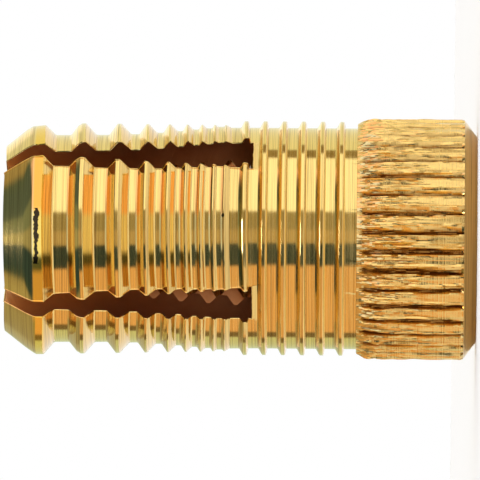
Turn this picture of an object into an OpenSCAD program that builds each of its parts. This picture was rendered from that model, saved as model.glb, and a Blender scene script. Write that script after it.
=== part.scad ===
// Expansion anchor sleeve for an M10 screw, turned, knurled and sawn from one piece of brass.
// It stands on its mouth, and the nose, which goes into the drilled hole first, points up.
// Heights are measured up from the mouth, in millimetres.

/* [Sleeve] */
// Height from the mouth to the end of the nose
sleeve_length = 25.8; // [24.5:0.1:30]
// Diameter of the plain turned body between its ridges
body_d = 12.1; // [11.7:0.05:12.3]
// Diameter of the hole that the thread is tapped in
bore_d = 8.5; // [7.8:0.05:8.9]
// Diameter of the countersink where the screw enters
mouth_d = 10.2; // [9.2:0.1:10.8]

/* [Knurled collar] */
// Diameter over the knurling
collar_d = 13.08; // [12.9:0.02:13.6]
// Height of the collar
collar_length = 6.56; // [5:0.02:7.5]
// Height of the bevel that leads from the mouth face to the collar
collar_bevel = 0.7; // [0.3:0.05:1]
// Diameter of the flat face at the mouth
face_d = 11.3; // [11:0.05:11.6]
// Height of the rounded shoulder beside the fins
shoulder_length = 1.56; // [0.8:0.02:2.5]
// How far the rounded shoulder falls before it breaks off at the body
shoulder_fall = 0.24; // [0.1:0.02:0.35]
// Number of straight knurl grooves
knurl_count = 38; // [24:2:60]
// Depth of one knurl groove
knurl_depth = 0.16; // [0.08:0.01:0.22]
// Radius of the tooth that rolls one knurl groove
knurl_tooth_r = 0.18; // [0.1:0.01:0.25]

/* [Locking fins] */
// Number of fins
fin_count = 6; // [4:1:6]
// Distance from one fin to the next
fin_pitch = 1.05; // [0.85:0.01:1.1]
// Diameter over the fins
fin_d = 12.82; // [12.5:0.02:13]
// Height from the collar to the middle of the first fin's crest
fin_start = 0.86; // [0.6:0.02:1]
// Width of a fin's crest
fin_crest = 0.22; // [0.1:0.02:0.3]
// Width of the steep side that faces the mouth and resists pulling out
fin_steep = 0.1; // [0.05:0.01:0.15]
// Width of the sloping side that faces the nose
fin_slope = 0.2; // [0.12:0.01:0.25]

/* [Barbs] */
// Number of barbs, the widest spaced ones at the nose
barb_count = 9; // [5:1:9]
// Diameter over the barb at the nose
barb_d = 12.64; // [12.4:0.02:12.9]
// Diameter over the last barb, beside the fins
last_barb_d = 12.4; // [12.2:0.02:12.6]
// Distance from the first barb to the second
first_pitch = 2.44; // [2:0.02:2.5]
// Distance that the pitch tends to as it shrinks
last_pitch = 0.35; // [0.3:0.01:0.38]
// Share of the excess pitch that each barb keeps from the one before
pitch_ratio = 0.74; // [0.7:0.01:0.76]
// Depth that the widest grooves tend to
groove_depth = 0.62; // [0.4:0.01:0.7]
// Pitch at which a groove would vanish
fade_pitch = 0.5; // [0.4:0.01:0.52]
// How quickly the grooves deepen as the pitch grows
fade_length = 0.62; // [0.4:0.01:0.9]
// Width of a groove's flat floor at no pitch
floor_base = 0.12; // [0.08:0.01:0.16]
// Share of the pitch that is added to a groove's floor
floor_share = 0.2; // [0.1:0.01:0.25]
// Width of the side between the last barb and the body
last_flank = 0.3; // [0.2:0.01:0.4]
// Width of the worn flat on the barb nearest the nose
first_crest = 0.36; // [0.1:0.02:0.5]
// Width of the flat on every other barb
barb_crest = 0.12; // [0.04:0.01:0.14]
// Share of a groove's depth that its steep lower sides take
steep_share = 0.66; // [0.5:0.01:0.8]
// Slope of those sides to the axis, where the groove is wide enough
steep_angle = 50; // [42:1:55]

/* [Nose] */
// Height of the lead-in cone
nose_length = 1.9; // [1.2:0.05:2.4]
// Diameter of the cone's small end, with the legs pressed in
nose_d = 10.08; // [9.4:0.02:10.6]

/* [Legs] */
// Height of the floor of the slots
slot_floor = 12.2; // [11:0.05:12.3]
// Width of the saw that cuts the slots, before the legs are pressed in
slot_width = 2.22; // [1.9:0.02:2.6]
// Angle by which each leg is pressed towards the axis
press_angle = 4; // [0:0.1:4.2]

/* [Hidden] */
$fn = 120;
brass = "#c9953f";
leg_count = 4;
leg_turn = 360 / leg_count;
shoulder_steps = 6;
hinge_z = slot_floor - 0.5;   // the legs bend about a line in the ring's skin below the slots
root_z = slot_floor - 0.15;   // a leg starts inside the ring's wall
clear = 1;                    // how far cutting tools run past the sleeve
body_r = body_d / 2;
bore_r = bore_d / 2;
fins_top = collar_length + fin_start + (fin_count - 1) * fin_pitch + fin_crest / 2 + fin_slope;
first_barb_z = sleeve_length - nose_length;
shoulder_r = (pow(shoulder_length, 2) + pow(shoulder_fall, 2)) / (2 * shoulder_fall);

// The barbs' spacing shrinks towards the fins, and their grooves grow shallower with it.
function pitch(i) = last_pitch + (first_pitch - last_pitch) * pow(pitch_ratio, i);
function barb_z(i) = first_barb_z - last_pitch * i
    - (first_pitch - last_pitch) * (1 - pow(pitch_ratio, i)) / (1 - pitch_ratio);
function groove(i) = groove_depth * (1 - exp((fade_pitch - pitch(i)) / fade_length));
function floor_width(i) = floor_base + floor_share * pitch(i);
function crest_half(i) = (i == 0 ? first_crest : barb_crest) / 2;
function steep_run(i, run) = steep_share * min(groove(i) / tan(steep_angle), run);

// Only the barbs that clear the fins are cut.
barbs = [for (i = [0 : barb_count - 1]) if (barb_z(i) - last_flank > fins_top) i];
last_barb = len(barbs) - 1;
barb_fall = (barb_d - last_barb_d) / 2 / (first_barb_z - barb_z(last_barb));
function barb_r(z) = barb_d / 2 - (first_barb_z - z) * barb_fall;

collar_outline = concat(
    [[face_d / 2, 0], [collar_d / 2, collar_bevel]],
    [for (i = [0 : shoulder_steps])
        let (up = shoulder_length * i / shoulder_steps)
        [collar_d / 2 - shoulder_r + sqrt(pow(shoulder_r, 2) - pow(up, 2)),
         collar_length - shoulder_length + up]],
    [[body_r, collar_length]]);

fin_outline = [for (i = [0 : fin_count - 1])
    let (z = collar_length + fin_start + i * fin_pitch)
    each [[body_r, z - fin_crest / 2 - fin_steep], [fin_d / 2, z - fin_crest / 2],
          [fin_d / 2, z + fin_crest / 2], [body_r, z + fin_crest / 2 + fin_slope]]];

// The groove between barb i and the next one up: a flat floor between sides that are steep
// at the bottom and ease off towards the crests.
function groove_outline(i, r) =
    let (z = barb_z(i), depth = groove(i - 1), floor = floor_width(i - 1))
    let (flank = (pitch(i - 1) - floor) / 2, knee_r = r - depth * (1 - steep_share))
    [[knee_r, z + flank - steep_run(i - 1, flank - crest_half(i))],
     [r - depth, z + flank],
     [r - depth, z + flank + floor],
     [knee_r, z + flank + floor + steep_run(i - 1, flank - crest_half(i - 1))]];

// From the lowest barb up: the flat of its crest, then the groove above it.
barb_outline = [for (i = [last_barb : -1 : 0])
    let (z = barb_z(i), r = barb_r(z))
    each concat(
        [[r, z - crest_half(i)], [r, z + crest_half(i)]],
        i > 0 ? groove_outline(i, r) : [])];

sleeve_outline = concat(
    collar_outline, fin_outline,
    [[body_r, barb_z(last_barb) - last_flank]],
    barb_outline,
    [[nose_d / 2, sleeve_length]]);

// A leg is drawn pressed in, and opened here about its hinge to the blank that the lathe turns.
function opened(p) = [
    body_r + (p[0] - body_r) * cos(press_angle) + (p[1] - hinge_z) * sin(press_angle),
    hinge_z - (p[0] - body_r) * sin(press_angle) + (p[1] - hinge_z) * cos(press_angle)];

leg_outline = [for (p = sleeve_outline) if (p[1] > slot_floor) opened(p)];
leg_top = leg_outline[len(leg_outline) - 1][1];

// The full ring: collar, lower fins and the wall up to the floor of the slots.
module ring() {
    difference() {
        rotate_extrude() polygon(concat([[0, 0]], sleeve_outline, [[0, sleeve_length]]));
        translate([0, 0, slot_floor]) cylinder(r = collar_d, h = sleeve_length);
        translate([0, 0, -clear]) cylinder(r = bore_r, h = sleeve_length + 2 * clear);
        translate([0, 0, -clear])
            cylinder(r1 = mouth_d / 2 + clear, r2 = 0, h = mouth_d / 2 + clear);
        knurl();
    }
}

// The straight grooves rolled into the collar.
module knurl() {
    for (i = [0 : knurl_count - 1])
        rotate([0, 0, i * 360 / knurl_count])
            translate([collar_d / 2 - knurl_depth + knurl_tooth_r, 0, -clear])
                cylinder(r = knurl_tooth_r, h = collar_length + clear + fin_start / 4, $fn = 24);
}

// One leg as sawn from the turned blank, with its middle on +X and its foot inside the ring.
module open_leg() {
    intersection() {
        rotate_extrude() polygon(concat(
            [[bore_r, root_z], [body_r, root_z]], leg_outline, [[bore_r, leg_top]]));
        rotate([0, 0, -leg_turn / 2])
            translate([slot_width / 2, slot_width / 2, root_z - clear])
                cube([collar_d, collar_d, sleeve_length]);
    }
}

// The same leg pressed in about its hinge.
module pressed_leg() {
    translate([body_r, 0, hinge_z])
        rotate([0, -press_angle, 0])
            translate([-body_r, 0, -hinge_z]) open_leg();
}

module anchor_sleeve() {
    color(brass) {
        ring();
        for (i = [0 : leg_count - 1])
            rotate([0, 0, (i + 0.5) * leg_turn]) pressed_leg();
    }
}

anchor_sleeve();
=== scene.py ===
import math

import bmesh
import bpy
from mathutils import Matrix, Vector, noise


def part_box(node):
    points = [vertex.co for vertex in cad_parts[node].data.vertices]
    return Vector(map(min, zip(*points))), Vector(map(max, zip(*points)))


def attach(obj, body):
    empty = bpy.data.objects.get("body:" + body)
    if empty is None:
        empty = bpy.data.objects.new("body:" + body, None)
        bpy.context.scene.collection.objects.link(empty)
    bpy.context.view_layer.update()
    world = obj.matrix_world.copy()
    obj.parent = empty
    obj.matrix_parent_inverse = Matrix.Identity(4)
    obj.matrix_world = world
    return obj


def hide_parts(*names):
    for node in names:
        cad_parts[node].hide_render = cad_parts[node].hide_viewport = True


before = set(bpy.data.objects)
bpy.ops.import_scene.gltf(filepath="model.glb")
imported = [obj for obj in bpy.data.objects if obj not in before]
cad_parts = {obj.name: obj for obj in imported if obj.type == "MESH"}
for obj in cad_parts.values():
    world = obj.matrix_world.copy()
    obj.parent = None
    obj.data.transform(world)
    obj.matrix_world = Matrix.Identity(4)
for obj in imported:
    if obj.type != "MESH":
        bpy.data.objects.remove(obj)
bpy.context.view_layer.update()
low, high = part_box("anchor_sleeve")
MM = 0.001  # sizes are written in millimetres, and Blender takes metres


# ---- Turned bar -----------------------------------------------------------------------------
# The sleeve starts as a bar of free-cutting brass on a lathe. A form tool leaves six locking fins, then
# nine barbs whose grooves come closer and shallower towards the fins, and a lead-in cone at the nose.
# The barbed end is cut wider than it ends up, because its legs are pressed in after they are sawn.

length = (high[2] - low[2]) / MM
body_r = 6.05
collar_length = 6.56
fin_count, fin_pitch, fin_start = 6, 1.05, 0.86
fin_r, fin_crest, fin_steep, fin_slope = 6.41, 0.22, 0.1, 0.2
# how the tool eases each corner: where its points lie from it, as radius and height
fin_lower_edge, fin_upper_edge = ((-0.03, -0.02), (0, 0.02)), ((0, -0.04), (-0.05, 0.01))
fin_foot = ((0.03, -0.04), (0, 0.02))
crest_lower_edge, crest_upper_edge = ((-0.02, -0.01), (0, 0.02)), ((0, -0.02), (-0.02, 0.01))
cone_foot = ((-0.06, 0.09), (-0.15, 0.23), (-0.39, 0.57))
groove_lower_foot, groove_upper_foot = ((0.035, -0.03), (0.004, 0.05)), ((0.004, -0.05), (0.035, 0.03))
first_barb_r, last_barb_r = 6.32, 6.2
barb_pitches = (2.34, 1.94, 1.55, 1.21, 0.97, 0.81, 0.7, 0.6)
crest_halves = (0.21, 0.11, 0.11, 0.07, 0.055, 0.05, 0.045, 0.045, 0.045)
groove_depth, fade_pitch, fade_length = 0.68, 0.5, 0.62
last_flank = 0.3
# degrees of the flanks that face the nose and the mouth, and how they change from groove to groove
nose_flank, nose_flank_step, nose_flank_most = 50.5, 1.5, 58
mouth_flank, mouth_flank_step, mouth_flank_least = 48.5, 0.8, 46.0
brow_share, brow_slope = 0.2, 0.65
nose_r, nose_length = 5.04, 1.9
slot_floor = 12.2
hinge_z = slot_floor - 0.5
press_angle, bend_length = 4, 0.5
bar_foot = collar_length - 1
bar_columns = 240


def linear(code):
    """A colour written as an sRGB hex value, in the linear values that a shader takes."""
    parts = [int(code[i : i + 2], 16) / 255 for i in (1, 3, 5)]
    return [p / 12.92 if p <= 0.04045 else ((p + 0.055) / 1.055) ** 2.4 for p in parts] + [1]


def add(tree, kind, inputs=None, **settings):
    """Adds a node with its settings. An input takes a value, or the node or output that feeds it.

    Inputs go by name or by place: a Map Range goes from 1-2 to 3-4, and a colour Mix has its colours at 6
    and 7 and its result at output 2.
    """
    node = tree.nodes.new(kind)
    for name, value in settings.items():
        setattr(node, name, value)
    for key, value in (inputs or {}).items():
        if isinstance(value, bpy.types.Node):
            value = value.outputs[0]
        if isinstance(value, bpy.types.NodeSocket):
            tree.links.new(value, node.inputs[key])
        else:
            node.inputs[key].default_value = value
    return node


def eased(r, z, offsets):
    """A corner of an outline, as the points that the tool leaves round it."""
    return [(r + out, z + up) for out, up in offsets]


def fin_outline():
    """The locking fins, from the collar up: steep below, sloping above."""
    points = []
    for i in range(fin_count):
        z = collar_length + fin_start + i * fin_pitch
        points.append((body_r, z - fin_crest / 2 - fin_steep))
        points += eased(fin_r, z - fin_crest / 2, fin_lower_edge)
        points += eased(fin_r, z + fin_crest / 2, fin_upper_edge)
        points += eased(body_r, z + fin_crest / 2 + fin_slope, fin_foot)
    return points


def barb_tips():
    """The radius and height of each barb's crest, from the nose down."""
    r, z = first_barb_r, length - nose_length
    fall = (first_barb_r - last_barb_r) / sum(barb_pitches)
    tips = [(r, z)]
    for pitch in barb_pitches:
        r -= fall * pitch
        z -= pitch
        tips.append((r, z))
    return tips


def barb_outline():
    """From the last barb up to the nose: each crest, then the groove above it, steeper on its lower side."""
    tips = barb_tips()
    points = [(body_r, tips[-1][1] - last_flank)]
    for i in range(len(tips) - 1, -1, -1):
        r, z = tips[i]
        half = crest_halves[i]
        points += eased(r, z - half, crest_lower_edge) + eased(r, z + half, crest_upper_edge)
        if i == 0:
            points += eased(r, z + half, cone_foot)
            continue
        depth = groove_depth * (1 - math.exp((fade_pitch - barb_pitches[i - 1]) / fade_length))
        below = math.tan(math.radians(min(nose_flank + nose_flank_step * i, nose_flank_most)))
        above = math.tan(math.radians(max(mouth_flank - mouth_flank_step * i, mouth_flank_least)))
        bottom, brow = r - depth, brow_share * depth
        start = z + half + depth / below
        if i == 1:  # the barb after the first has a gentler brow
            start += brow / brow_slope - brow / below
            points.append((r - brow, z + half + brow / brow_slope))
        end = tips[i - 1][1] - crest_halves[i - 1] - depth / above
        points += eased(bottom, start, groove_lower_foot) + eased(bottom, end, groove_upper_foot)
    return points


def bent(z):
    """The share of its angle that a leg has turned through at a height of the unpressed bar."""
    share = min(max((z - slot_floor) / bend_length, 0), 1)
    return share * share * (3 - 2 * share)


def opened(r, z):
    """Where a point of a pressed leg was on the bar, before the leg turned in about its hinge."""
    before = (r, z)
    rounds = 12
    for _ in range(rounds):
        angle = math.radians(press_angle) * bent(before[1])
        out, up = r - body_r, z - hinge_z
        before = (
            body_r + out * math.cos(angle) + up * math.sin(angle),
            hinge_z - out * math.sin(angle) + up * math.cos(angle),
        )
    return before


def placed(name, data):
    """Puts a mesh, or the camera, into the scene as an object."""
    thing = bpy.data.objects.new(name, data)
    bpy.context.scene.collection.objects.link(thing)
    return thing


def turned(name, outline, columns):
    """Spins an outline of (radius, height) points, closed on the axis, into a solid."""
    weld = 0.001 * MM
    bm = bmesh.new()
    verts = [bm.verts.new((r * MM, 0, z * MM)) for r, z in outline]
    edges = [bm.edges.new(pair) for pair in zip(verts, verts[1:])]
    bmesh.ops.spin(bm, geom=verts + edges, axis=(0, 0, 1), cent=(0, 0, 0), angle=math.tau, steps=columns)
    bmesh.ops.remove_doubles(bm, verts=bm.verts[:], dist=weld)
    bmesh.ops.recalc_face_normals(bm, faces=bm.faces[:])
    mesh = bpy.data.meshes.new(name)
    bm.to_mesh(mesh)
    bm.free()
    return placed(name, mesh)


def waves(round_bar, along):
    """A pattern's scale on each axis, from its waves to a millimetre round the bar and along it."""
    return (round_bar / MM, round_bar / MM, along / MM)


def new_finish(name):
    """A new material, and its tree with nothing in it."""
    material = bpy.data.materials.new(name)
    material.use_nodes = True
    material.node_tree.nodes.clear()
    return material, material.node_tree


def finished_with(piece, material):
    """Gives the whole of a piece one material."""
    piece.data.materials.clear()
    piece.data.materials.append(material)
    return piece


# Free-cutting brass, turned and left bright: nearly a mirror round the bar, and drawn out along it by the
# fine rings that the tool leaves, a few hundredths of a millimetre apart. Some rings are browner, and there
# are a few specks of dirt. The first crest is rubbed to a deeper gold, and has a ragged dark smear of grease.
rubbed_z, rubbed_half, rubbed_fade = 23.85, 0.22, 0.3
grease_z, grease_half, grease_rag = 23.96, 0.12, 0.1
grease_bearing, grease_half_angle = -51, 14

turned_brass, t = new_finish("turned brass")
place = add(t, "ShaderNodeTexCoord").outputs["Object"]
split = add(t, "ShaderNodeSeparateXYZ", {0: place}).outputs
ring_place = add(t, "ShaderNodeMapping", {"Vector": place, "Scale": waves(0.09, 26)})
rings = add(t, "ShaderNodeTexNoise", {"Vector": ring_place, "Scale": 1.0, "Detail": 3.0, "Roughness": 0.65})
wide_place = add(t, "ShaderNodeMapping", {"Vector": place, "Scale": waves(0.16, 5.2)})
wide_rings = add(t, "ShaderNodeTexNoise", {"Vector": wide_place, "Scale": 1.0, "Detail": 2.0})
cloud = add(t, "ShaderNodeTexNoise", {"Vector": place, "Scale": 0.42 / MM, "Detail": 4.0})
tone = add(
    t, "ShaderNodeMix",
    {0: cloud.outputs["Fac"], 6: linear("#f3cd7c"), 7: linear("#f1d284")}, data_type="RGBA",
)
streak = add(t, "ShaderNodeMapRange", {0: rings.outputs["Fac"], 1: 0.47, 2: 0.68, 3: 0.0, 4: 0.65})
tone = add(t, "ShaderNodeMix", {0: streak, 6: tone.outputs[2], 7: linear("#96703a")}, data_type="RGBA")
rubbed = add(t, "ShaderNodeMath", {0: split["Z"], 1: rubbed_z * MM}, operation="SUBTRACT")
rubbed = add(t, "ShaderNodeMath", {0: rubbed}, operation="ABSOLUTE")
rubbed = add(t, "ShaderNodeMapRange", {0: rubbed, 1: rubbed_half * MM, 2: rubbed_fade * MM, 3: 1.0, 4: 0.0})
tone = add(t, "ShaderNodeMix", {0: rubbed, 6: tone.outputs[2], 7: linear("#f5c85a")}, data_type="RGBA")
# a speck lies in the middle of some of the cells, and is as wide as the cell's own random colour says
cells = add(t, "ShaderNodeTexVoronoi", {"Vector": place, "Scale": 0.62 / MM}, feature="F1").outputs
speck_size = add(t, "ShaderNodeSeparateColor", {0: cells["Color"]})
speck_size = add(t, "ShaderNodeMapRange", {0: speck_size.outputs[0], 1: 0.86, 2: 1.0, 3: 0.0, 4: 0.11})
speck = add(t, "ShaderNodeMath", {0: cells["Distance"], 1: speck_size}, operation="LESS_THAN")
# the grease keeps to one height and one side of the bar, with a ragged edge
bearing = add(t, "ShaderNodeMath", {0: split["Y"], 1: split["X"]}, operation="ARCTAN2")
aside = add(t, "ShaderNodeMath", {0: bearing, 1: math.radians(grease_bearing)}, operation="SUBTRACT")
aside = add(t, "ShaderNodeMath", {0: aside}, operation="ABSOLUTE")
in_front = add(t, "ShaderNodeMath", {0: aside, 1: math.radians(grease_half_angle)}, operation="LESS_THAN")
rag = add(t, "ShaderNodeTexNoise", {"Vector": place, "Scale": 3.6 / MM, "Detail": 3.0}).outputs["Fac"]
rag = add(t, "ShaderNodeMapRange", {0: rag, 1: 0.3, 2: 0.7, 3: -grease_rag * MM, 4: grease_rag * MM})
above = add(t, "ShaderNodeMath", {0: split["Z"], 1: rag}, operation="ADD")
above = add(t, "ShaderNodeMath", {0: above, 1: grease_z * MM}, operation="SUBTRACT")
above = add(t, "ShaderNodeMath", {0: above}, operation="ABSOLUTE")
on_crest = add(t, "ShaderNodeMath", {0: above, 1: grease_half * MM}, operation="LESS_THAN")
grease = add(t, "ShaderNodeMath", {0: on_crest, 1: in_front}, operation="MULTIPLY")
speck = add(t, "ShaderNodeMath", {0: speck, 1: grease}, operation="MAXIMUM")
colour = add(
    t, "ShaderNodeMix", {0: speck, 6: tone.outputs[2], 7: linear("#3c2f1b")}, data_type="RGBA"
)
gloss = add(t, "ShaderNodeMapRange", {0: wide_rings.outputs["Fac"], 1: 0.3, 2: 0.7, 3: 0.07, 4: 0.13})
fine = add(t, "ShaderNodeBump", {"Strength": 0.35, "Distance": 0.0016 * MM, "Height": rings.outputs["Fac"]})
wide = add(
    t, "ShaderNodeBump",
    {"Strength": 0.3, "Distance": 0.006 * MM, "Height": wide_rings.outputs["Fac"], "Normal": fine},
)
shader = add(
    t, "ShaderNodeBsdfPrincipled",
    {"Base Color": colour.outputs[2], "Metallic": 1.0, "Roughness": gloss, "Normal": wide},
)
add(t, "ShaderNodeOutputMaterial", {"Surface": shader})

bar_outline = [(body_r, bar_foot)] + fin_outline() + barb_outline()
bar_outline.append((nose_r, length))
bar_outline = [opened(*point) for point in bar_outline]
bar_top = bar_outline[-1][1]
bar = turned("bar", [(0, bar_foot)] + bar_outline + [(0, bar_top)], bar_columns)

# Handling has flattened the first barb by a different amount on each leg, and the crests' thin edges
# wander a little from one side of the bar to the other. The flat is cut for the pressed leg, where it
# faces a little towards the nose.
worn_by = {45: 0.15, 135: 0.06, 225: -0.06, 315: 0.06}
worn_half, worn_slope = 0.75, 0.1
below_crests_r, legs_z = 6.1, slot_floor + 0.6
near_crest_r, near_crest_z = 0.045, 0.12
wander_up, wander_out, worn_wander = 0.004, 0.0005, 0.004
crests = [opened(*tip) for tip in barb_tips()]
first_r, first_z = crests[0]
crest_tilt = math.tan(math.radians(press_angle)) - worn_slope


def leg_at(place):
    """Which leg a point is on, as the degrees round the bar of the leg's middle."""
    azimuth = math.degrees(math.atan2(place.y, place.x)) % 360
    return int(azimuth // 90) * 90 + 45


def uneven(across, z, round_bar, along):
    """Smooth noise from -1 to 1, by the direction from the axis and the height."""
    return noise.noise((across.x * round_bar, across.y * round_bar, z * along))


for vert in bar.data.vertices:
    r, z = vert.co.xy.length / MM, vert.co.z / MM
    if r < below_crests_r:
        continue
    across = vert.co.xy.normalized()
    wander = 0.3 * uneven(across, z, 9, 0.7) + uneven(across, z, 34, 1)
    on_crest = any(abs(r - tip) < near_crest_r and abs(z - height) < near_crest_z for tip, height in crests)
    if z > legs_z and on_crest:
        vert.co.z += wander_up * MM * wander
        vert.co.xy *= 1 + wander_out * uneven(across, z, 50, 2)
    if abs(z - first_z) < worn_half:
        top = first_r - worn_by[leg_at(vert.co)] + (z - first_z) * crest_tilt
        top += worn_wander * uneven(across, z, 40, 6)
        if r > top:
            vert.co.xy *= top / r
finished_with(bar, turned_brass)


# ---- Knurled collar -------------------------------------------------------------------------
# The collar is a press fit in the drilled hole, so it is knurled with straight grooves. They are rolled in
# hard from the shoulder, where torn and folded metal covers the lands, and end at a clean turned chamfer.

collar_r = 6.54
face_r = 5.65
bevel = 0.7
shoulder_length, shoulder_fall = 1.56, 0.24
knurl_count = 38
knurl_depth = 0.3
knurl_half = 0.21
knurl_tearing = 0.36
columns_per_groove, straight_rows, shoulder_rows = 20, 30, 11
face_ease, face_ease_up, corner_ease, shoulder_back = 0.05, 0.03, 0.02, 0.06


def collar_outline():
    """From the mouth up: the bevel, the straight side in rows for the knurl, and the bowed shoulder."""
    bow_r = (shoulder_length**2 + shoulder_fall**2) / (2 * shoulder_fall)
    straight = collar_length - shoulder_length
    points = [(face_r - face_ease, 0), (face_r, face_ease_up)]
    points += [(collar_r - corner_ease, bevel - corner_ease), (collar_r, bevel)]
    for i in range(1, straight_rows + 1):
        points.append((collar_r, bevel + (straight - bevel) * i / straight_rows))
    for i in range(1, shoulder_rows + 1):
        up = (shoulder_length - corner_ease) * i / shoulder_rows
        points.append((collar_r - bow_r + math.sqrt(bow_r**2 - up**2), straight + up))
    points.append((points[-1][0] - shoulder_back, collar_length))
    return points


def new_tree(name, sizes):
    """A new geometry tree that takes a mesh, named sizes and a material, and what those inputs give."""
    tree = bpy.data.node_groups.new(name, "GeometryNodeTree")
    inputs = [("Geometry", "NodeSocketGeometry")]
    inputs += [(size, "NodeSocketFloat") for size in sizes]
    inputs += [("Material", "NodeSocketMaterial")]
    for socket, kind in inputs:
        tree.interface.new_socket(socket, in_out="INPUT", socket_type=kind)
    tree.interface.new_socket("Geometry", in_out="OUTPUT", socket_type="NodeSocketGeometry")
    return tree, add(tree, "NodeGroupInput").outputs


# The knurl's own tree: every point of the collar's side goes in or out by where it lies across a groove.
torn_from, torn_to = 1.8, 4.6
knurl_start, knurl_stop, side_r = 0.86, 6.1, 5.9
section_half, drift_by, bits_middle = 2.4, 0.07, 1.06
sizes = ("Grooves", "Half width", "Depth", "Radius", "Chamfer end", "Shoulder end", "Tearing")
knurl, given = new_tree("knurl", sizes)
t = knurl
where = add(t, "GeometryNodeInputPosition")
split = add(t, "ShaderNodeSeparateXYZ", {0: where}).outputs
flat = add(t, "ShaderNodeCombineXYZ", {0: split[0], 1: split[1]})
outward = add(t, "ShaderNodeVectorMath", {0: flat}, operation="NORMALIZE")
azimuth = add(t, "ShaderNodeMath", {0: split[1], 1: split[0]}, operation="ARCTAN2")
turns = add(t, "ShaderNodeMath", {0: azimuth, 1: math.tau}, operation="DIVIDE")
# long thin noise along the grooves moves their edges, and a shorter one breaks them up
drift_place = add(t, "ShaderNodeVectorMath", {0: where, 1: waves(0.9, 0.26)}, operation="MULTIPLY")
drift = add(t, "ShaderNodeTexNoise", {"Vector": drift_place, "Scale": 1.0, "Detail": 3.0})
tear_place = add(t, "ShaderNodeVectorMath", {0: where, 1: waves(3.6, 0.42)}, operation="MULTIPLY")
tear = add(t, "ShaderNodeTexNoise", {"Vector": tear_place, "Scale": 1.0, "Detail": 4.0, "Roughness": 0.65})
groove_place = add(t, "ShaderNodeMath", {0: turns, 1: given["Grooves"]}, operation="MULTIPLY")
drifting = add(t, "ShaderNodeMapRange", {0: drift.outputs["Fac"], 1: 0.3, 2: 0.7, 3: -drift_by, 4: drift_by})
drifted = add(t, "ShaderNodeMath", {0: groove_place, 1: drifting}, operation="ADD")
index = add(t, "ShaderNodeMath", {0: drifted}, operation="ROUND")
off = add(t, "ShaderNodeMath", {0: drifted, 1: index}, operation="SUBTRACT")
share = add(t, "ShaderNodeMath", {0: given["Radius"], 1: given["Grooves"]}, operation="DIVIDE")
off = add(t, "ShaderNodeMath", {0: off, 1: share}, operation="MULTIPLY")
off = add(t, "ShaderNodeMath", {0: off, 1: math.tau}, operation="MULTIPLY")
across = add(t, "ShaderNodeMath", {0: off, 1: given["Half width"]}, operation="DIVIDE")
# the groove's own section: steep on one side, sloping on the other, with a lip thrown up on both
spread = add(t, "ShaderNodeMapRange", {0: across, 1: -section_half, 2: section_half})
section = add(t, "ShaderNodeFloatCurve", {"Value": spread})
curve = section.mapping.curves[0]
shape = [(0.0, 0.5), (0.202, 0.5), (0.272, 0.58), (0.31, 0.46), (0.381, 0.16), (0.421, 0.18)]
shape += [(0.75, 0.59), (0.8, 0.61), (0.857, 0.5), (1.0, 0.5)]
curve.points[0].location = shape[0]
curve.points[1].location = shape[-1]
for spot in shape[1:-1]:
    curve.points.new(*spot)
for point in curve.points:
    point.handle_type = "AUTO_CLAMPED"
section.mapping.update()
deep = add(t, "ShaderNodeMath", {0: given["Depth"], 1: 2.0}, operation="MULTIPLY")
groove = add(t, "ShaderNodeMath", {0: section, 1: 0.5}, operation="SUBTRACT")
groove = add(t, "ShaderNodeMath", {0: groove, 1: deep}, operation="MULTIPLY")
# torn metal is rough from the shoulder down and fades to a tenth of that before the chamfer, but stays rough
# beside the grooves
torn = add(
    t, "ShaderNodeMapRange", {0: split[2], 1: torn_from * MM, 2: torn_to * MM, 3: 0.1, 4: 1.0},
    interpolation_type="SMOOTHSTEP",
)
near = add(t, "ShaderNodeMath", {0: across}, operation="ABSOLUTE")
near = add(t, "ShaderNodeMapRange", {0: near, 1: 0.9, 2: 1.7, 3: 0.75, 4: 0.0})
rough = add(t, "ShaderNodeMath", {0: torn, 1: near}, operation="MAXIMUM")
ridge_place = add(t, "ShaderNodeVectorMath", {0: where, 1: waves(6.5, 0.24)}, operation="MULTIPLY")
ridge = add(t, "ShaderNodeTexNoise", {"Vector": ridge_place, "Scale": 1.0, "Detail": 3.0, "Roughness": 0.6})
bits = add(t, "ShaderNodeMath", {0: tear.outputs["Fac"], 1: ridge.outputs["Fac"]}, operation="ADD")
bits = add(t, "ShaderNodeMath", {0: bits, 1: bits_middle}, operation="SUBTRACT")
bits = add(t, "ShaderNodeMath", {0: bits, 1: rough}, operation="MULTIPLY")
bits = add(t, "ShaderNodeMath", {0: bits, 1: given["Tearing"]}, operation="MULTIPLY")
change = add(t, "ShaderNodeMath", {0: groove, 1: bits}, operation="ADD")
start = add(
    t, "ShaderNodeMapRange", {0: split[2], 1: given["Chamfer end"], 2: knurl_start * MM},
    interpolation_type="SMOOTHSTEP",
)
stop = add(t, "ShaderNodeMapRange", {0: split[2], 1: given["Shoulder end"], 2: knurl_stop * MM})
change = add(t, "ShaderNodeMath", {0: change, 1: start}, operation="MULTIPLY")
change = add(t, "ShaderNodeMath", {0: change, 1: stop}, operation="MULTIPLY")
side = add(t, "ShaderNodeVectorMath", {0: flat}, operation="LENGTH").outputs["Value"]
side = add(t, "ShaderNodeMath", {0: side, 1: side_r * MM}, operation="GREATER_THAN")
change = add(t, "ShaderNodeMath", {0: change, 1: side}, operation="MULTIPLY")
move = add(t, "ShaderNodeVectorMath", {0: outward, "Scale": change}, operation="SCALE")
moved = add(t, "GeometryNodeSetPosition", {"Geometry": given["Geometry"], "Offset": move})
made = add(t, "GeometryNodeRealizeInstances", {0: moved})
made = add(t, "GeometryNodeSetMaterial", {"Geometry": made, "Material": given["Material"]})
add(t, "NodeGroupOutput", {0: made})


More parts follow.
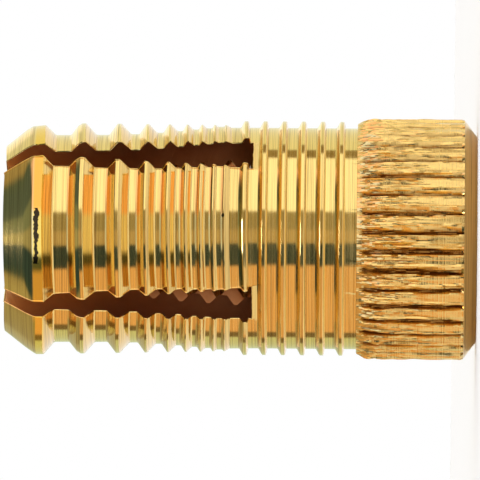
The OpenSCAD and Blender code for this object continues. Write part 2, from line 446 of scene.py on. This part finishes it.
def plain(piece):
    """Makes what a piece's modifiers do a part of its own mesh."""
    bpy.context.view_layer.update()
    seen = piece.evaluated_get(bpy.context.evaluated_depsgraph_get())
    mesh = bpy.data.meshes.new_from_object(seen)
    piece.modifiers.clear()
    piece.data = mesh
    return piece


def worked(piece, tree, **values):
    """Runs a tree on a piece with its named inputs."""
    modifier = piece.modifiers.new(tree.name, "NODES")
    modifier.node_group = tree
    for socket in tree.interface.items_tree:
        name = socket.name.replace(" ", "_")
        if socket.in_out == "INPUT" and name in values:
            modifier[socket.identifier] = values[name]
    return plain(piece)


# Knurled brass: metal pushed and torn by the roll, duller than the turned lands and full of small bright
# edges, with a painted shade darkening the bottom of the grooves. Folds under a tenth of a millimetre
# are in the bump, which is stretched along the grooves.
knurled_brass, t = new_finish("knurled brass")
place = add(t, "ShaderNodeTexCoord").outputs["Object"]
folds_place = add(t, "ShaderNodeMapping", {"Vector": place, "Scale": waves(6.5, 0.24)})
folds = add(t, "ShaderNodeTexNoise", {"Vector": folds_place, "Scale": 1.0, "Detail": 2.0, "Roughness": 0.6})
ring_place = add(t, "ShaderNodeMapping", {"Vector": place, "Scale": waves(0.09, 17)})
rings = add(t, "ShaderNodeTexNoise", {"Vector": ring_place, "Scale": 1.0, "Detail": 2.0})
height = add(t, "ShaderNodeSeparateXYZ", {0: place}).outputs["Z"]
# painted shade by how deep a point lies in a groove: the side before knurling, less its own radius
straight = collar_length - shoulder_length
up = add(t, "ShaderNodeMapRange", {0: height, 1: straight * MM, 2: collar_length * MM})
whole = add(t, "ShaderNodeMath", {0: up, 1: up}, operation="MULTIPLY")
whole = add(
    t, "ShaderNodeMath", {0: whole, 1: -shoulder_fall * MM, 2: collar_r * MM}, operation="MULTIPLY_ADD"
)
flat = add(t, "ShaderNodeVectorMath", {0: place, 1: (1, 1, 0)}, operation="MULTIPLY")
radius = add(t, "ShaderNodeVectorMath", {0: flat}, operation="LENGTH").outputs["Value"]
painted_groove_shade = add(t, "ShaderNodeMath", {0: whole, 1: radius}, operation="SUBTRACT")
painted_groove_shade = add(t, "ShaderNodeMapRange", {0: painted_groove_shade, 1: 0.02 * MM, 2: 0.18 * MM})
worn = add(t, "ShaderNodeMapRange", {0: height, 1: 1.2 * MM, 2: 4.2 * MM, 3: 0.1, 4: 0.6})
tone = add(
    t, "ShaderNodeMix",
    {0: folds.outputs["Fac"], 6: linear("#e8bd6e"), 7: linear("#f3cf80")}, data_type="RGBA",
)
# painted shade: the deeper a point lies in a groove, the darker its colour
tone = add(t, "ShaderNodeMix", {0: painted_groove_shade, 6: tone.outputs[2], 7: linear("#8f6430")}, data_type="RGBA")
gloss = add(t, "ShaderNodeMapRange", {0: folds.outputs["Fac"], 1: 0.3, 2: 0.7, 3: 0.1, 4: 0.2})
fine = add(t, "ShaderNodeBump", {"Strength": 0.3, "Distance": 0.012 * MM, "Height": rings.outputs["Fac"]})
folded = add(
    t, "ShaderNodeBump",
    {"Strength": worn, "Distance": 0.05 * MM, "Height": folds.outputs["Fac"], "Normal": fine},
)
shader = add(
    t, "ShaderNodeBsdfPrincipled",
    {"Base Color": tone.outputs[2], "Metallic": 1.0, "Roughness": gloss, "Normal": folded},
)
add(t, "ShaderNodeOutputMaterial", {"Surface": shader})

collar = turned(
    "collar", [(0, 0)] + collar_outline() + [(0, collar_length)], knurl_count * columns_per_groove
)
worked(
    collar, knurl, Grooves=float(knurl_count), Half_width=knurl_half * MM, Depth=knurl_depth * MM,
    Radius=collar_r * MM, Chamfer_end=bevel * MM, Shoulder_end=collar_length * MM,
    Tearing=knurl_tearing * MM, Material=knurled_brass,
)
# the bevel and the flat ends are turned, not knurled
collar.data.materials.append(turned_brass)
for face in collar.data.polygons:
    middle = face.center
    if middle.z < bevel * MM or math.hypot(middle.x, middle.y) < (face_r - corner_ease) * MM:
        face.material_index = 1


# ---- Tapped bore ----------------------------------------------------------------------------
# The bore is drilled through and tapped M10 x 1.5 from the mouth, with a 45 degree countersink. The thread
# stops about 5 mm short of the nose and gets shallower over its last two turns, where the tap's lead was.

bore_r = 4.25
thread_r = 5.0
thread_pitch = 1.5
thread_start, thread_end = 0.155 - thread_pitch, 20.6
thread_sides, thread_half_angle = 72, 30
lead_turns, lead_size = 2.2, 0.3
tooth_foot = 0.25
mouth_r = 5.1
drill_sides, past_bar = 144, 1

# The tap's own tree: the metal that it takes away is a tooth swept along a helix. The tooth's top is an
# eighth of the pitch wide.
tap, given = new_tree("tap", ("Pitch", "Turns", "Crest radius", "Root radius", "Start"))
t = tap
rise = add(t, "ShaderNodeMath", {0: given["Pitch"], 1: given["Turns"]}, operation="MULTIPLY")
path = add(
    t, "GeometryNodeCurveSpiral",
    {
        "Resolution": thread_sides, "Rotations": given["Turns"], "Start Radius": given["Root radius"],
        "End Radius": given["Root radius"], "Height": rise, "Reverse": True,
    },
)
path = add(t, "GeometryNodeSetCurveNormal", {"Curve": path}, mode="Z_UP")
tall = add(t, "ShaderNodeMath", {0: given["Crest radius"], 1: given["Root radius"]}, operation="SUBTRACT")
crest = add(t, "ShaderNodeMath", {0: given["Pitch"], 1: 1 / 16}, operation="MULTIPLY")
slope = math.tan(math.radians(thread_half_angle))
flare = add(t, "ShaderNodeMath", {0: tall, 1: slope, 2: crest}, operation="MULTIPLY_ADD")
minus_crest = add(t, "ShaderNodeMath", {0: crest, 1: -1.0}, operation="MULTIPLY")
minus_flare = add(t, "ShaderNodeMath", {0: flare, 1: -1.0}, operation="MULTIPLY")
tooth = add(
    t, "GeometryNodeCurvePrimitiveQuadrilateral",
    {
        "Point 1": add(t, "ShaderNodeCombineXYZ", {1: minus_flare}),
        "Point 2": add(t, "ShaderNodeCombineXYZ", {0: tall, 1: minus_crest}),
        "Point 3": add(t, "ShaderNodeCombineXYZ", {0: tall, 1: crest}),
        "Point 4": add(t, "ShaderNodeCombineXYZ", {1: flare}),
    },
    mode="POINTS",
)
# the tap's lead: over the last turns the tooth gets smaller
done = add(t, "GeometryNodeSplineParameter").outputs["Factor"]
left = add(t, "ShaderNodeMath", {0: 1.0, 1: done}, operation="SUBTRACT")
left = add(t, "ShaderNodeMath", {0: left, 1: given["Turns"]}, operation="MULTIPLY")
lead = add(t, "ShaderNodeMapRange", {0: left, 1: 0.0, 2: lead_turns, 3: lead_size, 4: 1.0})
thread = add(
    t, "GeometryNodeCurveToMesh", {"Curve": path, "Profile Curve": tooth, "Scale": lead, "Fill Caps": True}
)
start = add(t, "ShaderNodeCombineXYZ", {2: given["Start"]})
thread = add(t, "GeometryNodeTransform", {"Geometry": thread, "Translation": start})
made = add(t, "GeometryNodeRealizeInstances", {0: thread})
made = add(t, "GeometryNodeSetMaterial", {"Geometry": made, "Material": given["Material"]})
add(t, "NodeGroupOutput", {0: made})

# Tapped brass: bored and cut with oil, duller than the outside, with fine drag marks round the bore.
tapped_brass, t = new_finish("tapped brass")
place = add(t, "ShaderNodeTexCoord").outputs["Object"]
drag_place = add(t, "ShaderNodeMapping", {"Vector": place, "Scale": waves(0.5, 9)})
drag = add(t, "ShaderNodeTexNoise", {"Vector": drag_place, "Scale": 1.0, "Detail": 3.0, "Roughness": 0.6})
tone = add(
    t, "ShaderNodeMix",
    {0: drag.outputs["Fac"], 6: linear("#d9ab60"), 7: linear("#f0cb80")}, data_type="RGBA",
)
gloss = add(t, "ShaderNodeMapRange", {0: drag.outputs["Fac"], 1: 0.3, 2: 0.7, 3: 0.2, 4: 0.34})
torn = add(t, "ShaderNodeBump", {"Strength": 0.4, "Distance": 0.03 * MM, "Height": drag.outputs["Fac"]})
shader = add(
    t, "ShaderNodeBsdfPrincipled",
    {"Base Color": tone.outputs[2], "Metallic": 1.0, "Roughness": gloss, "Normal": torn},
)
add(t, "ShaderNodeOutputMaterial", {"Surface": shader})

thread = placed("thread", bpy.data.meshes.new("thread"))
worked(
    thread, tap, Pitch=thread_pitch * MM, Turns=(thread_end - thread_start) / thread_pitch,
    Crest_radius=thread_r * MM, Root_radius=(bore_r - tooth_foot) * MM, Start=thread_start * MM,
    Material=tapped_brass,
)
drill_outline = [(0, -past_bar), (mouth_r + past_bar, -past_bar), (bore_r, mouth_r - bore_r)]
drill_outline += [(bore_r, bar_top + past_bar), (0, bar_top + past_bar)]
drill = turned("drill", drill_outline, drill_sides)
finished_with(drill, tapped_brass)


# ---- Saw cuts -------------------------------------------------------------------------------
# Two slitting-saw cuts part the barbed end into four legs. Each one runs a little to one side of the axis
# and is less deep at its far end. The saw leaves slanting marks on the walls, and pushes a thin burr over
# their outer edges.

slot_width = 2.22
saw_offset = 0.27
saw_askew = 0.035
slab_length = 16

# Sawn brass: flat walls with the slanting marks of the saw's teeth, about a quarter of a millimetre apart.
# Each wall faces the next one 2 mm away, so light gets redder as it goes between them: that is a painted
# red-brown shade in the colour, and a painted light makes the colour paler towards the open end.
mark_slope = 0.36
painted_light_from, painted_light_to = 19, 25.5
sawn_brass, t = new_finish("sawn brass")
place = add(t, "ShaderNodeTexCoord").outputs["Object"]
split = add(t, "ShaderNodeSeparateXYZ", {0: place}).outputs
from_axis = add(t, "ShaderNodeMath", {0: split[0], 1: split[0]}, operation="MULTIPLY")
from_axis = add(t, "ShaderNodeMath", {0: split[1], 1: split[1], 2: from_axis}, operation="MULTIPLY_ADD")
from_axis = add(t, "ShaderNodeMath", {0: from_axis}, operation="SQRT")
slant = add(t, "ShaderNodeMath", {0: from_axis, 1: mark_slope, 2: split[2]}, operation="MULTIPLY_ADD")
mark_place = add(t, "ShaderNodeCombineXYZ", {0: slant, 1: 0.0, 2: 0.0})
mark_place = add(t, "ShaderNodeMapping", {"Vector": mark_place, "Scale": (4.2 / MM, 1, 1)})
marks = add(t, "ShaderNodeTexNoise", {"Vector": mark_place, "Scale": 1.0, "Detail": 4.0, "Roughness": 0.7})
smear_place = add(t, "ShaderNodeMapping", {"Vector": place, "Scale": waves(1.2, 1.2)})
smear = add(t, "ShaderNodeTexNoise", {"Vector": smear_place, "Scale": 1.0, "Detail": 3.0})
# painted shade: a dark red-brown stands in for the light that bounces between the walls
tone = add(
    t, "ShaderNodeMix",
    {0: smear.outputs["Fac"], 6: linear("#a06c48"), 7: linear("#b58258")}, data_type="RGBA",
)
# painted light: the walls get paler towards the open end, where more light comes in from outside
outer = add(t, "ShaderNodeMapRange", {0: split[2], 1: painted_light_from * MM, 2: painted_light_to * MM})
tone = add(t, "ShaderNodeMix", {0: outer, 6: tone.outputs[2], 7: linear("#f0bd86")}, data_type="RGBA")
gloss = add(t, "ShaderNodeMapRange", {0: marks.outputs["Fac"], 1: 0.3, 2: 0.7, 3: 0.28, 4: 0.45})
scored = add(t, "ShaderNodeBump", {"Strength": 0.5, "Distance": 0.04 * MM, "Height": marks.outputs["Fac"]})
shader = add(
    t, "ShaderNodeBsdfPrincipled",
    {"Base Color": tone.outputs[2], "Metallic": 1.0, "Roughness": gloss, "Normal": scored},
)
add(t, "ShaderNodeOutputMaterial", {"Surface": shader})


def saw_cut(name, turn, askew):
    """One pass of the saw, as the slab of metal that it takes away, a little less deep at one end."""
    bm = bmesh.new()
    bmesh.ops.create_cube(bm, size=1)
    tall = bar_top + past_bar - slot_floor
    bmesh.ops.scale(bm, vec=(slab_length * MM, slot_width * MM, tall * MM), verts=bm.verts[:])
    bmesh.ops.translate(bm, vec=(0, -saw_offset * MM, (slot_floor + tall / 2) * MM), verts=bm.verts[:])
    for vert in bm.verts:
        vert.co.z += askew * vert.co.x + abs(askew) * body_r * MM
    to_side = Matrix.Rotation(math.radians(turn), 3, "Z")
    bmesh.ops.rotate(bm, cent=(0, 0, 0), matrix=to_side, verts=bm.verts[:])
    mesh = bpy.data.meshes.new(name)
    bm.to_mesh(mesh)
    bm.free()
    return finished_with(placed(name, mesh), sawn_brass)


def joined(piece, other, how):
    """Adds or cuts another solid, whose faces keep their own finish, and takes the other one away."""
    cut = piece.modifiers.new(how.lower(), "BOOLEAN")
    cut.operation = how
    cut.object = other
    cut.solver = "MANIFOLD"
    cut.material_mode = "TRANSFER"
    plain(piece)
    bpy.data.objects.remove(other)
    return piece


sleeve = joined(bar, collar, "UNION")
joined(sleeve, drill, "DIFFERENCE")
joined(sleeve, thread, "DIFFERENCE")
joined(sleeve, saw_cut("first cut", 0, -saw_askew), "DIFFERENCE")
joined(sleeve, saw_cut("second cut", 90, saw_askew), "DIFFERENCE")


# ---- Legs pressed in ------------------------------------------------------------------------
# After sawing, the four legs are squeezed towards the axis, so that the screw has to spread them in the
# hole. They bend at the slot floor. One leg has gone in a little more than the one facing it, and another
# is slightly twisted.

leg_angles = {45: 4.5, 135: 4.0, 225: 3.3, 315: 4.0}
leg_twists = {45: 0.0, 135: 0.0, 225: 0.0, 315: 0.75}

for vert in sleeve.data.vertices:
    share = bent(vert.co.z / MM)
    if share == 0:
        continue
    leg = leg_at(vert.co)
    turn = math.radians(leg_angles[leg]) * share
    side = Vector((math.cos(math.radians(leg)), math.sin(math.radians(leg)), 0))
    hinge = side * body_r * MM + Vector((0, 0, hinge_z * MM))
    about = Vector((-side.y, side.x, 0))
    sideways = math.radians(leg_twists[leg]) * share
    pressed = Matrix.Rotation(-turn, 3, about) @ Matrix.Rotation(sideways, 3, side)
    vert.co = pressed @ (vert.co - hinge) + hinge

# the burr: a bead of pushed-over metal that follows every edge between a sawn wall and the turned outside
burr_thickness, burr_wander, burr_sides = 0.045, 0.04, 6
burr_from, crease = slot_floor - 0.1, 13
burr, given = new_tree("burr", ("Thickness", "Wander"))
t = burr
edge = add(t, "GeometryNodeMeshToCurve", {"Mesh": given["Geometry"]})
where = add(t, "GeometryNodeInputPosition")
ragged = add(t, "ShaderNodeTexNoise", {"Vector": where, "Scale": 2.6 / MM, "Detail": 2.0})
push = add(t, "ShaderNodeVectorMath", {0: ragged.outputs["Color"], 1: (0.5, 0.5, 0.5)}, operation="SUBTRACT")
push = add(t, "ShaderNodeVectorMath", {0: push, "Scale": given["Wander"]}, operation="SCALE")
edge = add(t, "GeometryNodeSetPosition", {"Geometry": edge, "Offset": push})
swell = add(t, "ShaderNodeMapRange", {0: ragged.outputs["Fac"], 1: 0.3, 2: 0.7, 3: 0.45, 4: 1.2})
ring = add(t, "GeometryNodeCurvePrimitiveCircle", {"Resolution": burr_sides, "Radius": given["Thickness"]})
bead = add(
    t, "GeometryNodeCurveToMesh", {"Curve": edge, "Profile Curve": ring, "Scale": swell, "Fill Caps": True}
)
made = add(t, "GeometryNodeRealizeInstances", {0: bead})
made = add(t, "GeometryNodeSetMaterial", {"Geometry": made, "Material": given["Material"]})
add(t, "NodeGroupOutput", {0: made})

bm = bmesh.new()
bm.from_mesh(sleeve.data)
finishes = sleeve.data.materials
beside_burr = sorted((finishes.find("turned brass"), finishes.find("sawn brass")))
edges = [
    e for e in bm.edges
    if sorted(f.material_index for f in e.link_faces) == beside_burr
    and e.verts[0].co.z > burr_from * MM
]
corners = {v: i for i, v in enumerate(dict.fromkeys(v for e in edges for v in e.verts))}
path = bpy.data.meshes.new("burr")
path.from_pydata([v.co for v in corners], [[corners[v] for v in e.verts] for e in edges], [])
bm.free()
bead = placed("burr", path)
worked(bead, burr, Thickness=burr_thickness * MM, Wander=burr_wander * MM, Material=turned_brass)

# the sleeve and its burr become one mesh, with its many-cornered faces cut into triangles
bm = bmesh.new()
bm.from_mesh(sleeve.data)
bmesh.ops.triangulate(bm, faces=[f for f in bm.faces if len(f.verts) > 4])
bm.from_mesh(bead.data)
mesh = bpy.data.meshes.new("brass_sleeve")
bm.to_mesh(mesh)
bm.free()
for material in sleeve.data.materials:
    mesh.materials.append(material)
mesh.shade_smooth()
mesh.set_sharp_from_angle(angle=math.radians(crease))
sleeve.data = mesh
sleeve.name = "brass_sleeve"
bpy.data.objects.remove(bead)
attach(sleeve, "root")
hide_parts("anchor_sleeve")


# ---- Floor, studio and camera ---------------------------------------------------------------
# The sleeve stands on its mouth on a pale table inside a light tent, and the camera sees plain white behind
# it. The brass mirrors the tent instead: pale panels, dark gaps and gold cards round the axis, in one belt
# level with the sleeve, one above and below that and one towards the nose, with a small lamp overhead.

table_half = 300
level_to, leaning_from = 6, 10
leaning_to, nose_end_from = 40, 46
lamp_from, lamp_whole = 81, 83
lamp_light = (16.0, 16.4, 19.0, 1)
lens_bearing = -51.25
camera_distance, camera_height, camera_roll = 614, 3.4, 0.5
aim_height, aim_aside = 12.97, 0.118

paper, t = new_finish("matt white paper")
place = add(t, "ShaderNodeTexCoord").outputs["Object"]
grain = add(t, "ShaderNodeTexNoise", {"Vector": place, "Scale": 0.9 / MM, "Detail": 3.0})
tone = add(
    t, "ShaderNodeMix",
    {0: grain.outputs["Fac"], 6: linear("#f7f7f5"), 7: linear("#fbfbfa")}, data_type="RGBA",
)
shader = add(t, "ShaderNodeBsdfPrincipled", {"Base Color": tone.outputs[2], "Roughness": 0.9})
add(t, "ShaderNodeOutputMaterial", {"Surface": shader})

mesh = bpy.data.meshes.new("table")
corners = [(x * table_half * MM, y * table_half * MM, 0) for x, y in ((-1, -1), (1, -1), (1, 1), (-1, 1))]
mesh.from_pydata(corners, [], [(0, 1, 2, 3)])
table = finished_with(placed("table", mesh), paper)

facing = math.radians(lens_bearing)
to_lens = Vector((math.cos(facing), math.sin(facing), 0))
picture_up = Vector((0, 0, 1)).cross(to_lens)

studio = bpy.data.worlds.new("light tent")
studio.use_nodes = True
bpy.context.scene.world = studio
t = studio.node_tree
t.nodes.clear()
seen = add(t, "ShaderNodeTexCoord").outputs["Generated"]
seen = add(t, "ShaderNodeVectorMath", {0: seen}, operation="NORMALIZE")
near = add(t, "ShaderNodeVectorMath", {0: seen, 1: to_lens}, operation="DOT_PRODUCT").outputs["Value"]
up = add(t, "ShaderNodeVectorMath", {0: seen, 1: picture_up}, operation="DOT_PRODUCT").outputs["Value"]
tip = add(t, "ShaderNodeSeparateXYZ", {0: seen}).outputs["Z"]
turn = add(t, "ShaderNodeMath", {0: up, 1: near}, operation="ARCTAN2")
turn = add(t, "ShaderNodeMapRange", {0: turn, 1: -math.pi, 2: math.pi})
lean = add(t, "ShaderNodeMath", {0: tip}, operation="ABSOLUTE")


def sine(degrees):
    return math.sin(math.radians(degrees))


def belt(places, blend):
    """One belt of the tent, as a ramp by the angle round the axis.

    A place is where a panel starts, in degrees from the lens, and its light in red, green and blue.
    Neighbours blend into each other over some degrees on both sides.
    """
    ramp = add(t, "ShaderNodeValToRGB", {0: turn})
    ramp.color_ramp.interpolation = "LINEAR"
    stops = []
    for i, (start, colour) in enumerate(places):
        stops.append((start + (blend if i else 0), colour))
        if i + 1 < len(places):
            stops.append((places[i + 1][0] - blend, colour))
    stops.append((180, places[-1][1]))
    elements = ramp.color_ramp.elements
    while len(elements) < len(stops):
        elements.new(0.5)
    for element, (angle, colour) in zip(elements, stops):
        element.position = (angle + 180) / 360
        element.color = (*colour, 1)
    return ramp


level = belt(
    [
        (-180, (0.66, 0.76, 0.52)),
        (-127, (0.22, 0.17, 0.09)),
        (-116, (0.86, 0.54, 0.29)),
        (-28, (0.05, 0.075, 0.08)),
        (-5, (0.55, 0.44, 0.26)),
        (9, (0.38, 0.33, 0.2)),
        (28, (1.4, 1.42, 1.4)),
        (93, (0.33, 0.26, 0.13)),
        (106, (0.94, 1.0, 0.84)),
    ],
    blend=1.0,
)
leaning = belt(
    [
        (-180, (0.5, 0.5, 0.34)),
        (-150, (0.4, 0.38, 0.25)),
        (-112, (0.66, 0.45, 0.25)),
        (-28, (0.1, 0.13, 0.12)),
        (-14, (1.1, 1.3, 1.9)),
        (28, (1.3, 0.96, 1.0)),
        (93, (0.7, 0.65, 0.5)),
        (106, (0.85, 0.9, 0.72)),
        (150, (1.2, 1.2, 1.0)),
    ],
    blend=3.0,
)
nose_end = belt(
    [
        (-180, (2.4, 2.5, 2.5)),
        (-148, (0.7, 0.65, 0.5)),
        (-128, (0.36, 0.28, 0.18)),
        (-104, (0.46, 0.43, 0.26)),
        (-84, (0.42, 0.38, 0.23)),
        (-74, (0.05, 0.09, 0.1)),
        (-60, (0.04, 0.08, 0.11)),
        (-14, (0.41, 0.42, 0.3)),
        (15, (0.22, 0.28, 0.24)),
        (50, (0.1, 0.15, 0.17)),
        (90, (0.1, 0.15, 0.15)),
        (102, (0.4, 0.34, 0.2)),
        (118, (0.66, 0.6, 0.34)),
        (148, (2.4, 2.5, 2.5)),
    ],
    blend=4.0,
)
side = add(t, "ShaderNodeMapRange", {0: lean, 1: sine(level_to), 2: sine(leaning_from)})
cap = add(t, "ShaderNodeMapRange", {0: tip, 1: sine(leaning_to), 2: sine(nose_end_from)})
overhead = add(t, "ShaderNodeMapRange", {0: tip, 1: sine(lamp_from), 2: sine(lamp_whole)})
tent = add(t, "ShaderNodeMix", {0: side, 6: level, 7: leaning}, data_type="RGBA")
tent = add(t, "ShaderNodeMix", {0: cap, 6: tent.outputs[2], 7: nose_end}, data_type="RGBA")
tent = add(t, "ShaderNodeMix", {0: overhead, 6: tent.outputs[2], 7: lamp_light}, data_type="RGBA")
ray = add(t, "ShaderNodeLightPath").outputs
white = add(
    t, "ShaderNodeMix", {0: ray["Is Camera Ray"], 6: tent.outputs[2], 7: (1, 1, 1, 1)}, data_type="RGBA"
)
light = add(t, "ShaderNodeBackground", {"Color": white.outputs[2], "Strength": 1.0})
add(t, "ShaderNodeOutputWorld", {"Surface": light})

bpy.context.scene.view_settings.view_transform = "Standard"

lens = bpy.data.cameras.new("lens")
lens.sensor_width = 36
lens.lens = 840
lens.clip_start = 0.01
lens.clip_end = 50
camera = placed("camera", lens)
bpy.context.scene.camera = camera
aim = Vector((0, 0, aim_height * MM)) - picture_up * aim_aside * MM
stand = to_lens * camera_distance * MM + Vector((0, 0, camera_height * MM))
back = (stand - aim).normalized()
right = (Vector((0, 0, -1)) - back * back.dot(Vector((0, 0, -1)))).normalized()
right = Matrix.Rotation(math.radians(camera_roll), 3, back) @ right
turned_so = Matrix((right, back.cross(right), back)).transposed().to_4x4()
camera.matrix_world = Matrix.Translation(stand) @ turned_so
